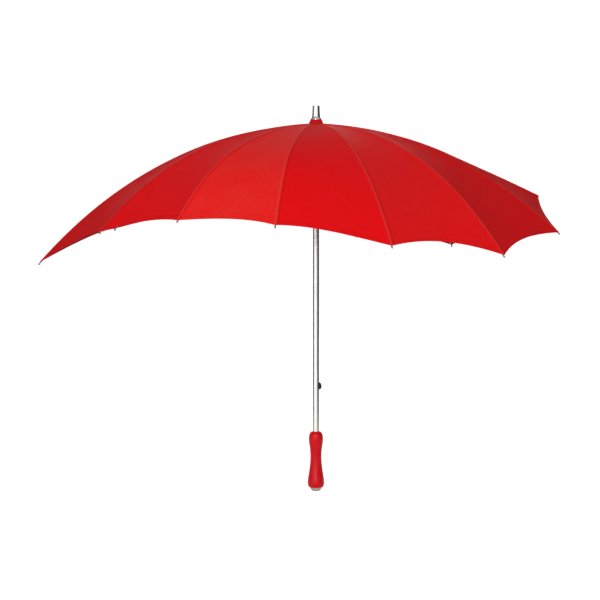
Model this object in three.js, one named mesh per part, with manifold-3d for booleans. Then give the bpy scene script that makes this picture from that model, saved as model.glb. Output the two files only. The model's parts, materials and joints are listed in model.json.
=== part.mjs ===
// Stick umbrella with a heart-shaped canopy of fourteen ribs, shown open.
// Millimetres, +Z up the shaft, origin at the middle of the flat under the handle's end cap.
// The heart's point is towards -X and its notch towards +X, so the model is mirrored about Y = 0.
import * as THREE from "three";
import { mergeVertices } from "three/addons/utils/BufferGeometryUtils.js";
import Module from "manifold-3d";

const wasm = await Module();
wasm.setup();

// ---- driving dimensions ----
const clearance = 0.3; // between pieces that touch or are seated in one another

// Frame
const ribCount = 14;
const crownPivotDrop = 7; // crown pivots below the fabric's apex
const linkLength = 290; // crown pivot to stretcher pivot, and stretcher pivot to runner pivot
const closedLinkAngle = 3; // degrees between each link and the shaft when the umbrella is shut
const parkedRunnerGap = 62; // from the top of the handle to the runner when the umbrella is shut

// Heart outline: each rib's tip, out from the shaft and down from the apex, point first, notch last
const ribTips = [
  { reach: 636, drop: 321 },
  { reach: 532, drop: 247 },
  { reach: 491, drop: 221 },
  { reach: 463, drop: 231 },
  { reach: 578, drop: 270 },
  { reach: 591, drop: 292 },
  { reach: 576, drop: 248 },
  { reach: 514, drop: 166 },
];

// Drop of the fabric along every rib as far as the stretcher: slope, bend and tightening
const archSlope = 0.0732;
const archBend = 3.05e-4;
const archTighten = 7.03e-7;

// Ribs and stretchers, flat in their own radial plane
const ribThick = 2.2;
const ribHeight = 3.4;
const lugMargin = 1.3; // between the rib and the stretcher that folds along it
const lugRadius = 2.4;
const lugHole = 1.1;
const eyeRadius = 1.9;
const eyeHole = 0.95;
const flexOffset = 8; // from the stretcher pivot out to where the outer rib starts to bend
const endGap = 2.1; // from that place to the outer rib's inner end
const tipRadius = 2.4;
const tipProud = 2; // rib tip past the corner of the fabric
const stretcherHeight = 3;
const cheekThick = 0.8;
const rivetRadius = 0.8;
const forkMargin = 0.8; // from the lug to the web of the stretcher's fork
const forkWeb = 3;

// Shaft, crown and runner
const shaftRadius = 7.25;
const shaftWall = 1;
const shaftTopAboveApex = 13.5;
const collarRim = 3.2; // from the pivots to the rims of the crown's and runner's collars
const collarHeight = 8;
const runnerWall = 1.9;
const runnerLength = 66;
const runnerSlack = 0.45; // bore of the runner around the shaft
const pivotGap = 0.5; // from the runner's sleeve to the eyes round it
const wireRadius = 0.6;
const runnerWireRadius = 0.45;

// Catches, on the side of the notch
const catchProud = 6;
const catchHeight = 17.3;
const catchThick = 3;
const catchBelowPivot = 9.5; // top of a latched catch below the runner's pivots
const catchNose = 7; // height of the steep side of the tooth
const leafThick = 0.8;
const leafLength = 34;

// Handle and its end cap
const handleBottomZ = 8.7;
const handleTopZ = 138.5;
const handleSocketZ = 30; // floor of the socket that takes the shaft
const spigotRadius = 5;
const spigotTopZ = 23.7;
const capRadius = 12.6;
const capFlatRadius = 6;

// Ferrule and collar at the top
const collarTopAboveApex = 7.6;
const fabricCollarRadius = 15;
const ferruleTopAboveApex = 39.3;
const ferruleBaseRadius = 13.5;
const ferruleWall = 1.75; // round the shaft, above the flared base
const ferruleTopRadius = 8.3;

// Canopy
const fabricThick = 1; // thicker than real cloth, so that it is a solid
const fabricGap = 1.4; // from the cloth to the ribs below it
const fabricInnerGap = 2.25; // from the shaft to the edge of the cloth
const hemScallops = [22, 15, 11, 11, 23, 18, 8]; // hem's curve inwards in each gore, point first
const goreSag = 7; // how far a gore hangs below the straight line between two ribs
const panelGap = 0.3;
const innerRows = 5; // rows of facets from the crown to the bend
const outerRows = 7; // rows of facets from the bend to the hem

// ---- values that follow ----
const runnerSleeveRadius = shaftRadius + runnerSlack + runnerWall;
const pivotRadius = runnerSleeveRadius + pivotGap + eyeRadius;
const collarRadius = pivotRadius + collarRim;
const ferruleNeckRadius = shaftRadius + clearance + ferruleWall;
const fabricInnerRadius = shaftRadius + fabricInnerGap;
const lugDrop = ribHeight / 2 + lugMargin + stretcherHeight / 2;
const forkStart = lugRadius + forkMargin;

// The shaft is as long as the folded links need: shut, they hold the runner clear of the handle.
const closedRunnerZ = handleTopZ + parkedRunnerGap + runnerLength - collarHeight / 2;
const closedReach = 2 * linkLength * Math.cos((closedLinkAngle * Math.PI) / 180);
const crownZ = closedRunnerZ + closedReach;
const apexZ = crownZ + crownPivotDrop; // top of the fabric on the shaft's line
const ribStep = (2 * Math.PI) / ribCount;

function fabricDrop(radius) {
  return archSlope * radius + archBend * radius ** 2 + archTighten * radius ** 3;
}

// A rib lies under the cloth by the cloth's thickness, the gap and half its own height. The last
// two are square to the cloth, so they reach further down where it is steep.
function ribBelow(slope) {
  return fabricThick + (fabricGap + ribHeight / 2) * Math.sqrt(1 + slope ** 2);
}

function lugHeight(radius) {
  const slope = fabricDrop(radius + 1) - fabricDrop(radius);
  return apexZ - fabricDrop(radius) - ribBelow(slope) - lugDrop;
}

// The stretcher pivot is where the link from the crown pivot meets the lug under the rib.
function findPivotRadius() {
  let radius = linkLength;
  for (let i = 0; i < 30; i += 1) {
    radius = pivotRadius + Math.sqrt(linkLength ** 2 - (crownZ - lugHeight(radius)) ** 2);
  }
  return radius;
}

const lugX = findPivotRadius();
const lugZ = lugHeight(lugX);
const runnerZ = 2 * lugZ - crownZ; // both links are the same length, so the lug is half way
const flexX = lugX + flexOffset;

function tipOf(rib) {
  const k = ((rib % ribCount) + ribCount) % ribCount;
  return ribTips[Math.min(k, ribCount - k)];
}

// Height of the fabric over a rib. Past the bend each rib has its own curve down to its tip.
function fabricZ(rib, radius) {
  const { reach, drop } = tipOf(rib);
  const own = (drop - fabricDrop(reach)) / (reach - flexX) ** 2;
  return apexZ - fabricDrop(radius) - own * Math.max(radius - flexX, 0) ** 2;
}

// How far each row of facets is from the shaft, when the cloth ends at the given hem radius.
function rowRadius(row, hem) {
  if (row <= innerRows) {
    return fabricInnerRadius + ((flexX - fabricInnerRadius) * row) / innerRows;
  }
  return flexX + ((hem - flexX) * (row - innerRows)) / outerRows;
}

// How far the hem curves in between a rib and the next one.
function scallopOf(gore) {
  const g = ((gore % ribCount) + ribCount) % ribCount;
  return hemScallops[Math.min(g, ribCount - 1 - g)];
}

function ribMiddle(rib, radius) {
  const slope = fabricZ(rib, radius + 1) - fabricZ(rib, radius);
  return new THREE.Vector2(radius, fabricZ(rib, radius) - ribBelow(slope));
}

// ---- helpers ----
const group = new THREE.Group();

function finish(colour, roughness, metalness) {
  return new THREE.MeshStandardMaterial({ color: colour, roughness, metalness });
}

const aluminium = () => finish(0xc9cbce, 0.35, 0.9);
const chrome = () => finish(0xd5d6d9, 0.25, 1);
const steel = () => finish(0x8d9094, 0.4, 1);
const glassFibre = () => finish(0x2b2c2e, 0.5, 0);
const blackPlastic = () => finish(0x1b1b1d, 0.45, 0);
const redPlastic = () => finish(0xcf1420, 0.35, 0);
const redCloth = () => finish(0xc8141c, 0.85, 0);

function addMesh(name, geometry, material, parent = group) {
  const mesh = new THREE.Mesh(geometry, material);
  mesh.name = name;
  parent.add(mesh);
  return mesh;
}

function lathe(points, segments) {
  return new THREE.LatheGeometry(points.map(([r, z]) => new THREE.Vector2(r, z)), segments)
    .rotateX(Math.PI / 2);
}

function ring(radius, z, wire, segments, sides) {
  const points = [];
  for (let i = 0; i <= sides; i += 1) {
    const angle = (2 * Math.PI * i) / sides;
    points.push([radius + wire * Math.cos(angle), z + wire * Math.sin(angle)]);
  }
  return lathe(points, segments);
}

function toSolid(geometry) {
  const bare = geometry.clone();
  bare.deleteAttribute("normal");
  bare.deleteAttribute("uv");
  const merged = mergeVertices(bare, 1e-4);
  const vertProperties = Float32Array.from(merged.attributes.position.array);
  const triVerts = Uint32Array.from(merged.index.array);
  return new wasm.Manifold(new wasm.Mesh({ numProp: 3, vertProperties, triVerts }));
}

function toGeometry(solid) {
  const { vertProperties, triVerts } = solid.getMesh();
  const geometry = new THREE.BufferGeometry();
  geometry.setAttribute("position", new THREE.BufferAttribute(vertProperties, 3));
  geometry.setIndex(new THREE.BufferAttribute(triVerts, 1));
  return geometry;
}

function box(x0, x1, y0, y1, z0, z1) {
  return new THREE.BoxGeometry(x1 - x0, y1 - y0, z1 - z0)
    .translate((x0 + x1) / 2, (y0 + y1) / 2, (z0 + z1) / 2);
}

// A flat piece: an outline in the radial plane (X out, Z up) given a thickness across it.
function flatPiece(outline, thick, holes = [], offset = 0) {
  const clockwise = THREE.ShapeUtils.isClockWise(outline);
  const shape = new THREE.Shape(clockwise ? [...outline].reverse() : outline);
  for (const { x, y, radius } of holes) {
    shape.holes.push(new THREE.Path(arc(x, y, radius, 360, 45, 7)));
  }
  return new THREE.ExtrudeGeometry(shape, { depth: thick, bevelEnabled: false })
    .translate(0, 0, offset - thick / 2)
    .rotateX(Math.PI / 2);
}

// Points on an arc about a centre, from one angle to another in degrees.
function arc(x, y, radius, from, to, steps) {
  const points = [];
  for (let i = 0; i <= steps; i += 1) {
    const angle = ((from + ((to - from) * i) / steps) * Math.PI) / 180;
    points.push(new THREE.Vector2(x + radius * Math.cos(angle), y + radius * Math.sin(angle)));
  }
  return points;
}

// Both edges of a bar of the given height along a line of middle points.
function barEdges(middles, height) {
  const upper = [];
  const lower = [];
  middles.forEach((point, i) => {
    const before = middles[Math.max(i - 1, 0)];
    const after = middles[Math.min(i + 1, middles.length - 1)];
    const along = after.clone().sub(before).normalize();
    const across = new THREE.Vector2(-along.y, along.x).multiplyScalar(height / 2);
    upper.push(point.clone().add(across));
    lower.push(point.clone().sub(across));
  });
  return { upper, lower };
}

function headingOf(from, to) {
  return (Math.atan2(to.y - from.y, to.x - from.x) * 180) / Math.PI;
}

// A group turned to one rib's radial plane. Rib 0 is the heart's point.
function ribPlane(rib) {
  const plane = new THREE.Group();
  plane.rotation.z = Math.PI + rib * ribStep;
  group.add(plane);
  return plane;
}

// ---- frame pieces ----
// Inner rib: an eye on the crown wire, an arched channel, a lug for the stretcher, a round end.
function innerRibGeometry() {
  const middles = [new THREE.Vector2(pivotRadius, crownZ), ribMiddle(0, 2 * pivotRadius)];
  for (let row = 1; row <= innerRows; row += 1) {
    middles.push(ribMiddle(0, rowRadius(row, flexX)));
  }
  const { upper, lower } = barEdges(middles, ribHeight);
  const end = middles[middles.length - 1];
  const heading = headingOf(middles[middles.length - 2], end);
  const firstHeading = headingOf(middles[0], middles[1]);
  const lowerNearLug = lower.filter((point) => point.x < lugX - 2 * lugRadius).slice(1);
  const outline = [
    ...arc(pivotRadius, crownZ, eyeRadius, firstHeading + 300, firstHeading + 60, 6),
    ...upper.slice(1, -1),
    ...arc(end.x, end.y, ribHeight / 2, heading + 90, heading - 90, 4),
    ...arc(lugX, lugZ, lugRadius, heading + 70, heading - 250, 8),
    ...lowerNearLug.reverse(),
  ];
  const holes = [
    { x: pivotRadius, y: crownZ, radius: eyeHole },
    { x: lugX, y: lugZ, radius: lugHole },
  ];
  return flatPiece(outline, ribThick, holes);
}

// Outer rib: a springy rod from the bend to a round tip past the fabric's corner. Its facets
// meet where the cloth's do, so that it stays parallel to the cloth.
function outerRibGeometry(rib) {
  const { reach } = tipOf(rib);
  const bend = ribMiddle(rib, flexX);
  const next = ribMiddle(rib, flexX + 1);
  const along = next.clone().sub(bend).normalize();
  const middles = [bend.clone().add(along.clone().multiplyScalar(endGap))];
  for (let row = innerRows + 1; row < innerRows + outerRows; row += 1) {
    middles.push(ribMiddle(rib, rowRadius(row, reach - tipProud)));
  }
  middles.push(ribMiddle(rib, reach - tipRadius));
  const { upper, lower } = barEdges(middles, ribHeight);
  const end = middles[middles.length - 1];
  const heading = headingOf(middles[middles.length - 2], end);
  const outline = [
    ...upper.slice(0, -1),
    ...arc(end.x, end.y, tipRadius, heading + 135, heading - 135, 8),
    ...lower.slice(0, -1).reverse(),
  ];
  return flatPiece(outline, ribThick);
}

// Stretcher: a straight bar with an eye at the runner and a riveted fork round the rib's lug.
function stretcherGeometry() {
  const lug = new THREE.Vector2(lugX, lugZ);
  const inner = new THREE.Vector2(pivotRadius, runnerZ);
  const along = inner.clone().sub(lug).normalize();
  const at = (distance) => lug.clone().add(along.clone().multiplyScalar(distance));
  const heading = headingOf(lug, inner);
  const half = ribThick / 2 + clearance;
  const bar = barEdges([at(forkStart + forkWeb / 2), inner], stretcherHeight);
  const barOutline = [
    bar.upper[0],
    ...arc(inner.x, inner.y, eyeRadius, heading + 55, heading - 55, 8),
    bar.lower[0],
  ];
  const web = barEdges([at(forkStart), at(forkStart + forkWeb)], stretcherHeight);
  const webOutline = [web.upper[0], web.upper[1], web.lower[1], web.lower[0]];
  const cheek = barEdges([at(0), at(forkStart + forkWeb)], stretcherHeight);
  const cheekOutline = [
    cheek.upper[1],
    ...arc(lug.x, lug.y, stretcherHeight / 2, heading + 90, heading + 270, 6),
    cheek.lower[1],
  ];
  const outer = half + cheekThick;
  const rivet = arc(lug.x, lug.y, rivetRadius, 0, 315, 7);
  const parts = [
    flatPiece(webOutline, 2 * outer),
    flatPiece(cheekOutline, cheekThick, [], half + cheekThick / 2),
    flatPiece(cheekOutline, cheekThick, [], -half - cheekThick / 2),
    flatPiece(rivet, 2 * outer),
  ];
  const eye = [{ x: inner.x, y: inner.y, radius: eyeHole }];
  let solid = toSolid(flatPiece(barOutline, ribThick, eye));
  for (const part of parts) {
    solid = solid.add(toSolid(part));
  }
  return toGeometry(solid);
}

// A collar with one slot for each rib, turned with a groove for the pivot wire.
function slottedCollar(profile, slotFloor, segments) {
  let solid = toSolid(lathe(profile, segments));
  const heights = profile.map(([, z]) => z);
  const slotHalf = ribThick / 2 + clearance;
  const top = Math.max(...heights) + 1;
  for (let rib = 0; rib < ribCount; rib += 1) {
    const bottom = top - 1 - collarHeight - 1;
    const slot = box(slotFloor, collarRadius + 2, -slotHalf, slotHalf, bottom, top);
    solid = solid.subtract(toSolid(slot.rotateZ(Math.PI + rib * ribStep)));
  }
  return solid;
}

function crownGeometry() {
  const bore = shaftRadius + clearance;
  const low = crownZ - collarHeight / 2;
  const high = crownZ + collarHeight / 2;
  const half = wireRadius + clearance;
  const groove = pivotRadius - half;
  const slotFloor = pivotRadius - eyeRadius - clearance;
  const profile = [
    [bore, low], [collarRadius, low], [collarRadius, crownZ - half], [groove, crownZ - half],
    [groove, crownZ + half], [collarRadius, crownZ + half], [collarRadius, high],
    [bore, high], [bore, low],
  ];
  return toGeometry(slottedCollar(profile, slotFloor, 3 * ribCount));
}

const runnerWireRing = pivotRadius - eyeRadius - clearance - runnerWireRadius;

function runnerGeometry() {
  const bore = shaftRadius + runnerSlack;
  const high = runnerZ + collarHeight / 2;
  const low = high - runnerLength;
  const half = runnerWireRadius + clearance;
  const groove = runnerWireRing - half;
  const shoulder = runnerZ - collarHeight / 2;
  const profile = [
    [bore, low], [runnerSleeveRadius, low], [runnerSleeveRadius, shoulder],
    [collarRadius, shoulder], [collarRadius, runnerZ - half], [groove, runnerZ - half],
    [groove, runnerZ + half], [collarRadius, runnerZ + half], [collarRadius, high],
    [bore, high], [bore, low],
  ];
  const body = slottedCollar(profile, runnerSleeveRadius, 3 * ribCount);
  const windowHalf = catchThick / 2 + 2 * clearance;
  const windowTop = runnerZ - catchBelowPivot + 3;
  const windowBottom = runnerZ - catchBelowPivot - catchHeight - 3;
  const opening = box(2, collarRadius, -windowHalf, windowHalf, windowBottom, windowTop);
  return toGeometry(body.subtract(toSolid(opening)));
}

// A catch is one bent leaf: a tooth through the shaft's slot and a tail inside the tube.
// The steep side of the tooth bears on the runner's window. "up" is 1 if that side is on top.
function catchGeometry(middleZ, up) {
  const toothX = shaftRadius + catchProud;
  const rootX = shaftRadius + clearance / 2;
  const innerX = shaftRadius - shaftWall - 1.6;
  const half = catchHeight / 2;
  const outline = [
    [innerX, up * half], [rootX, up * half], [toothX, up * (half - catchNose)],
    [rootX, -up * half], [innerX, -up * half],
  ];
  const points = outline.map(([x, z]) => new THREE.Vector2(x, middleZ + z));
  const leaf = box(
    innerX - leafThick, innerX + 0.2, -catchThick / 2, catchThick / 2,
    middleZ - half - leafLength, middleZ + half,
  );
  return toGeometry(toSolid(flatPiece(points, catchThick)).add(toSolid(leaf)));
}

const topCatchZ = runnerZ - catchBelowPivot - catchHeight / 2;
const bottomCatchZ = closedRunnerZ - catchBelowPivot - catchHeight / 2;

function shaftGeometry() {
  const inner = shaftRadius - shaftWall;
  const bottom = handleSocketZ + clearance;
  const top = apexZ + shaftTopAboveApex;
  const profile = [
    [inner, bottom], [shaftRadius, bottom], [shaftRadius, top], [inner, top], [inner, bottom],
  ];
  let solid = toSolid(lathe(profile, 24));
  const half = catchThick / 2 + clearance;
  for (const z of [topCatchZ, bottomCatchZ]) {
    const reach = catchHeight / 2 + clearance;
    const slot = box(2, shaftRadius + 1, -half, half, z - reach, z + reach);
    solid = solid.subtract(toSolid(slot));
  }
  return toGeometry(solid);
}

// ---- handle, cap, ferrule and fabric collar ----
function handleGeometry() {
  const handleLength = handleTopZ - handleBottomZ;
  const outside = new THREE.SplineCurve([
    [15.6, 0], [18.6, 0.04], [19.25, 0.09], [18.2, 0.17], [15, 0.33], [13, 0.51],
    [13.7, 0.67], [16, 0.8], [16.5, 0.88], [15, 0.955], [10.5, 1],
  ].map(([r, share]) => new THREE.Vector2(r, handleBottomZ + share * handleLength)));
  const socket = shaftRadius + clearance;
  const recess = spigotRadius + clearance;
  const recessTop = spigotTopZ + clearance;
  const profile = [
    [0, recessTop], [recess, recessTop], [recess, handleBottomZ],
    ...outside.getPoints(14).map(({ x, y }) => [x, y]),
    [socket, handleTopZ], [socket, handleSocketZ], [0, handleSocketZ],
  ];
  return lathe(profile, 24);
}

function endCapGeometry() {
  const top = handleBottomZ - clearance;
  const dome = [];
  for (let i = 0; i <= 5; i += 1) {
    const angle = (Math.PI / 2) * (i / 5);
    const r = capFlatRadius + (capRadius - capFlatRadius) * Math.sin(angle);
    dome.push([r, top * (1 - Math.cos(angle))]);
  }
  const spigot = [[spigotRadius, top], [spigotRadius, spigotTopZ], [0, spigotTopZ]];
  return lathe([[0, 0], ...dome, ...spigot], 24);
}

function ferruleGeometry() {
  const base = apexZ + collarTopAboveApex + clearance;
  const socketTop = apexZ + shaftTopAboveApex + clearance;
  const top = apexZ + ferruleTopAboveApex;
  const socket = shaftRadius + clearance;
  return lathe([
    [0, socketTop], [socket, socketTop], [socket, base], [ferruleBaseRadius, base],
    [ferruleBaseRadius, base + 1.2], [ferruleNeckRadius + 1.2, base + 4.5],
    [ferruleNeckRadius, base + 9], [ferruleTopRadius, top - 1], [ferruleTopRadius - 1, top],
    [0, top],
  ], 24);
}

function fabricCollarGeometry() {
  const inner = shaftRadius + clearance;
  const bottom = apexZ + clearance;
  const top = apexZ + collarTopAboveApex;
  const profile = [
    [inner, bottom], [fabricCollarRadius, bottom], [fabricCollarRadius, bottom + 2],
    [ferruleBaseRadius, top], [inner, top], [inner, bottom],
  ];
  return lathe(profile, 24);
}

// ---- canopy ----
// A point on the cloth between rib and rib + 1, on a row of facets. "across" runs from 0 at rib
// to 1 at rib + 1. The cloth is straight between the ribs, apart from its sag, and the hem curves
// in by the scallop.
function clothPoint(rib, row, across, depth) {
  const bow = 4 * across * (1 - across);
  const along = row / (innerRows + outerRows);
  const ends = [rib, rib + 1].map((k) => {
    const radius = rowRadius(row, tipOf(k).reach - tipProud - scallopOf(rib) * bow);
    const angle = Math.PI + k * ribStep;
    const x = radius * Math.cos(angle);
    const y = radius * Math.sin(angle);
    return new THREE.Vector3(x, y, fabricZ(k, radius) - depth);
  });
  const point = ends[0].lerp(ends[1], across);
  point.z -= goreSag * bow * Math.sin(Math.PI * Math.min(along, 0.75) / 1.5);
  return point;
}

// One panel spans two gores: a closed sheet with an outer and an inner face.
function panelGeometry(firstRib) {
  const rows = innerRows + outerRows;
  const acrossSteps = 3;
  const columns = 2 * acrossSteps;
  const positions = [];
  for (const depth of [0, fabricThick]) {
    for (let i = 0; i <= rows; i += 1) {
      for (let j = 0; j <= columns; j += 1) {
        const gore = j <= acrossSteps ? 0 : 1;
        const across = (j - gore * acrossSteps) / acrossSteps;
        const point = clothPoint(firstRib + gore, i, across, depth);
        if (j === 0 || j === columns) {
          const angle = Math.PI + (firstRib + (j === 0 ? 0 : 2)) * ribStep;
          const side = j === 0 ? panelGap / 2 : -panelGap / 2;
          point.x -= side * Math.sin(angle);
          point.y += side * Math.cos(angle);
        }
        positions.push(point.x, point.y, point.z);
      }
    }
  }
  const faceSize = (rows + 1) * (columns + 1);
  const at = (face, i, j) => face * faceSize + i * (columns + 1) + j;
  const index = [];
  const quad = (a, b, c, d) => index.push(a, b, c, a, c, d);
  for (let i = 0; i < rows; i += 1) {
    for (let j = 0; j < columns; j += 1) {
      quad(at(0, i, j), at(0, i + 1, j), at(0, i + 1, j + 1), at(0, i, j + 1));
      quad(at(1, i, j), at(1, i, j + 1), at(1, i + 1, j + 1), at(1, i + 1, j));
    }
    quad(at(0, i, 0), at(1, i, 0), at(1, i + 1, 0), at(0, i + 1, 0));
    quad(at(0, i, columns), at(0, i + 1, columns), at(1, i + 1, columns), at(1, i, columns));
  }
  for (let j = 0; j < columns; j += 1) {
    quad(at(0, 0, j), at(0, 0, j + 1), at(1, 0, j + 1), at(1, 0, j));
    quad(
      at(0, rows, j), at(1, rows, j),
      at(1, rows, j + 1), at(0, rows, j + 1),
    );
  }
  const geometry = new THREE.BufferGeometry();
  geometry.setAttribute("position", new THREE.Float32BufferAttribute(positions, 3));
  geometry.setIndex(index);
  return geometry;
}

// ---- assembly ----
addMesh("shaft_tube", shaftGeometry(), aluminium());
addMesh("crown_notch", crownGeometry(), blackPlastic());
addMesh("crown_wire", ring(pivotRadius, crownZ, wireRadius, 2 * ribCount, 6), steel());
addMesh("ferrule", ferruleGeometry(), chrome());
addMesh("canopy_collar", fabricCollarGeometry(), redCloth());
addMesh("runner", runnerGeometry(), blackPlastic());
addMesh("runner_wire", ring(runnerWireRing, runnerZ, runnerWireRadius, 2 * ribCount, 6), steel());
addMesh("top_catch", catchGeometry(topCatchZ, 1), steel());
addMesh("bottom_catch", catchGeometry(bottomCatchZ, -1), blackPlastic());
addMesh("handle_grip", handleGeometry(), redPlastic());
addMesh("end_cap", endCapGeometry(), chrome());

const innerRib = innerRibGeometry();
const stretcher = stretcherGeometry();
for (let rib = 0; rib < ribCount; rib += 1) {
  const number = String(rib + 1).padStart(2, "0");
  const plane = ribPlane(rib);
  addMesh(`rib_${number}_inner`, innerRib, steel(), plane);
  addMesh(`rib_${number}_outer`, outerRibGeometry(rib), glassFibre(), plane);
  addMesh(`stretcher_${number}`, stretcher, steel(), plane);
}

for (let panel = 0; panel < ribCount / 2; panel += 1) {
  addMesh(`canopy_panel_${panel + 1}`, panelGeometry(2 * panel), redCloth());
}

export default group;
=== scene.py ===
# Stick umbrella with a heart-shaped canopy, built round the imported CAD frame.
# Shapes are worked out in millimetres and become metres as each mesh is made.
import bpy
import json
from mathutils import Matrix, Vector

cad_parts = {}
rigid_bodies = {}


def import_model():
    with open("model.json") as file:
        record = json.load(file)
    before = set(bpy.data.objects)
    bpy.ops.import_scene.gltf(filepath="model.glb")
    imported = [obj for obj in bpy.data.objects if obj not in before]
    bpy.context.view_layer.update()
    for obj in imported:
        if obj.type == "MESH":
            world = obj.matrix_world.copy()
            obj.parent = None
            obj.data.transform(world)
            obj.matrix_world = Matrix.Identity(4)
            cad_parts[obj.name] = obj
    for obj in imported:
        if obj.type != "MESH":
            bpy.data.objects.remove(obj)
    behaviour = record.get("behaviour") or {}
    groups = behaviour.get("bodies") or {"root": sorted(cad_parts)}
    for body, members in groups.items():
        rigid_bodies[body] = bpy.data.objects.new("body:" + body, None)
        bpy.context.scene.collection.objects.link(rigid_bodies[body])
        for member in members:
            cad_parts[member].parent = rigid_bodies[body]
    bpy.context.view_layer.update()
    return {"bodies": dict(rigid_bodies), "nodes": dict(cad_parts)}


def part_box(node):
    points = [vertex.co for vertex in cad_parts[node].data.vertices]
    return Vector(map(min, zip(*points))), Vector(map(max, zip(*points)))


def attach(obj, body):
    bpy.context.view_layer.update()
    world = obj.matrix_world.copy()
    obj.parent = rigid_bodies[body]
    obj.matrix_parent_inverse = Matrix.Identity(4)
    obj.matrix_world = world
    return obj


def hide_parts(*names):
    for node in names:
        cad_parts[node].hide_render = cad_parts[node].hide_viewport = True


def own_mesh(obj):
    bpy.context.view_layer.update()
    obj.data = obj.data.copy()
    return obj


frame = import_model()

import json
import math

import bmesh
import bpy
import numpy as np
from mathutils import Vector

mm = 0.001
ribCount = 14
ribStep = 2 * math.pi / ribCount


# Camera, floor and lights.
view = {
    "position": (-0.172, -4.136, 0.6647),
    "aim": (-0.0368, 0.0015, 0.4427),  # a little to the left of the shaft, so the canopy is centred
    "lens": 108,
}
studio = {
    "floorFlat": 7.0,  # radius of the flat floor, metres
    "floorCurve": 5.0,  # radius of the sweep that hides the horizon
    "wallHeight": 9.0,  # of the wall above the sweep
    "paperThick": 60.0,  # mm
    "floorTones": ("F6F6F6", "F7F7F7"),
    "skyTone": "FFFFFF",
    "skyStrength": 0.3,
    "floorGlow": 0.76,  # the sweep is lit from behind, as in a light tent
    # name: (position, aim, width, height, watts)
    "lights": {
        "keyLight": ((-0.7, -4.5, 1.6), (0.0, 0.0, 0.7), 1.4, 1.4, 137),
        "backLight": ((1.2, 4.6, 1.5), (0.0, 0.0, 0.6), 2.0, 2.0, 35),
        "topLight": ((0.3, 0.6, 4.0), (0.0, 0.0, 0.8), 3.0, 3.0, 12),
        "gripLight": ((-1.5, -1.6, 0.3), (0.0, 0.0, 0.25), 0.3, 0.6, 3),
    },
    # name: (position, width, height, tone). Grey cards that only reflections see, so that bright
    # metal has darker edges.
    "cards": {
        "rightCard": ((0.88, 0.50, 0.6), 1.5, 2.0, "3C3C3C"),
        "frontRightCard": ((0.92, -0.40, 0.6), 0.75, 2.0, "484848"),
        "leftCard": ((-0.956, 0.292, 0.6), 1.3, 2.0, "505050"),
    },
}


def aimAt(thing, target):
    direction = Vector(target) - thing.location
    thing.rotation_euler = direction.to_track_quat("-Z", "Y").to_euler()


def linear(code):  # sRGB hex to linear RGBA
    value = np.array([int(code[i:i + 2], 16) for i in (0, 2, 4)]) / 255
    value = np.where(value <= 0.04045, value / 12.92, ((value + 0.055) / 1.055) ** 2.4)
    return (*value.tolist(), 1.0)


def makeCamera():
    camera = bpy.data.objects.new("camera", bpy.data.cameras.new("camera"))
    bpy.context.collection.objects.link(camera)
    camera.location = view["position"]
    camera.data.lens = view["lens"]
    camera.data.sensor_width = 36
    camera.data.clip_end = 60
    aimAt(camera, view["aim"])
    bpy.context.scene.camera = camera
    bpy.context.scene.view_settings.view_transform = "Standard"  # so that the red stays as dyed


def makeLights():
    world = bpy.data.worlds.new("softSky")
    world.use_nodes = True
    background = world.node_tree.nodes["Background"]
    background.inputs["Color"].default_value = linear(studio["skyTone"])
    background.inputs["Strength"].default_value = studio["skyStrength"]
    bpy.context.scene.world = world
    for name, (position, target, width, height, watts) in studio["lights"].items():
        lamp = bpy.data.lights.new(name, "AREA")
        lamp.shape = "RECTANGLE"
        lamp.size = width
        lamp.size_y = height
        lamp.energy = watts
        panel = bpy.data.objects.new(name, lamp)
        panel.location = position
        aimAt(panel, target)
        bpy.context.collection.objects.link(panel)


# Materials, each named for the real substance.
def addNode(tree, kind, inputs=None, **settings):  # a node with its settings and links
    node = tree.nodes.new("ShaderNode" + kind)
    for name, value in settings.items():
        setattr(node, name, value)
    for name, value in (inputs or {}).items():
        if isinstance(value, bpy.types.Node):
            value = value.outputs[0]
        if isinstance(value, bpy.types.NodeSocket):
            tree.links.new(value, node.inputs[name])
        else:
            node.inputs[name].default_value = value
    return node


def startMaterial(name, finish):  # a material with its shader's fixed values set
    material = bpy.data.materials.new(name)
    material.use_nodes = True
    tree = material.node_tree
    shader = tree.nodes["Principled BSDF"]
    for socket, value in finish.items():
        shader.inputs[socket].default_value = value
    return material, tree, shader


def useOn(tree, shader, **links):  # nodes into the shader's sockets
    for socket, node in links.items():
        tree.links.new(node.outputs[0], shader.inputs[socket.replace("_", " ")])


def mixTones(tree, factor, *stops):  # a colour ramp through (place, tone) stops
    tones = addNode(tree, "ValToRGB", {"Fac": factor})
    for number, (stop, tone) in enumerate(stops):
        element = tones.color_ramp.elements[number] if number < 2 else tones.color_ramp.elements.new(1.0)
        element.position = stop
        element.color = linear(tone)
    return tones


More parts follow.
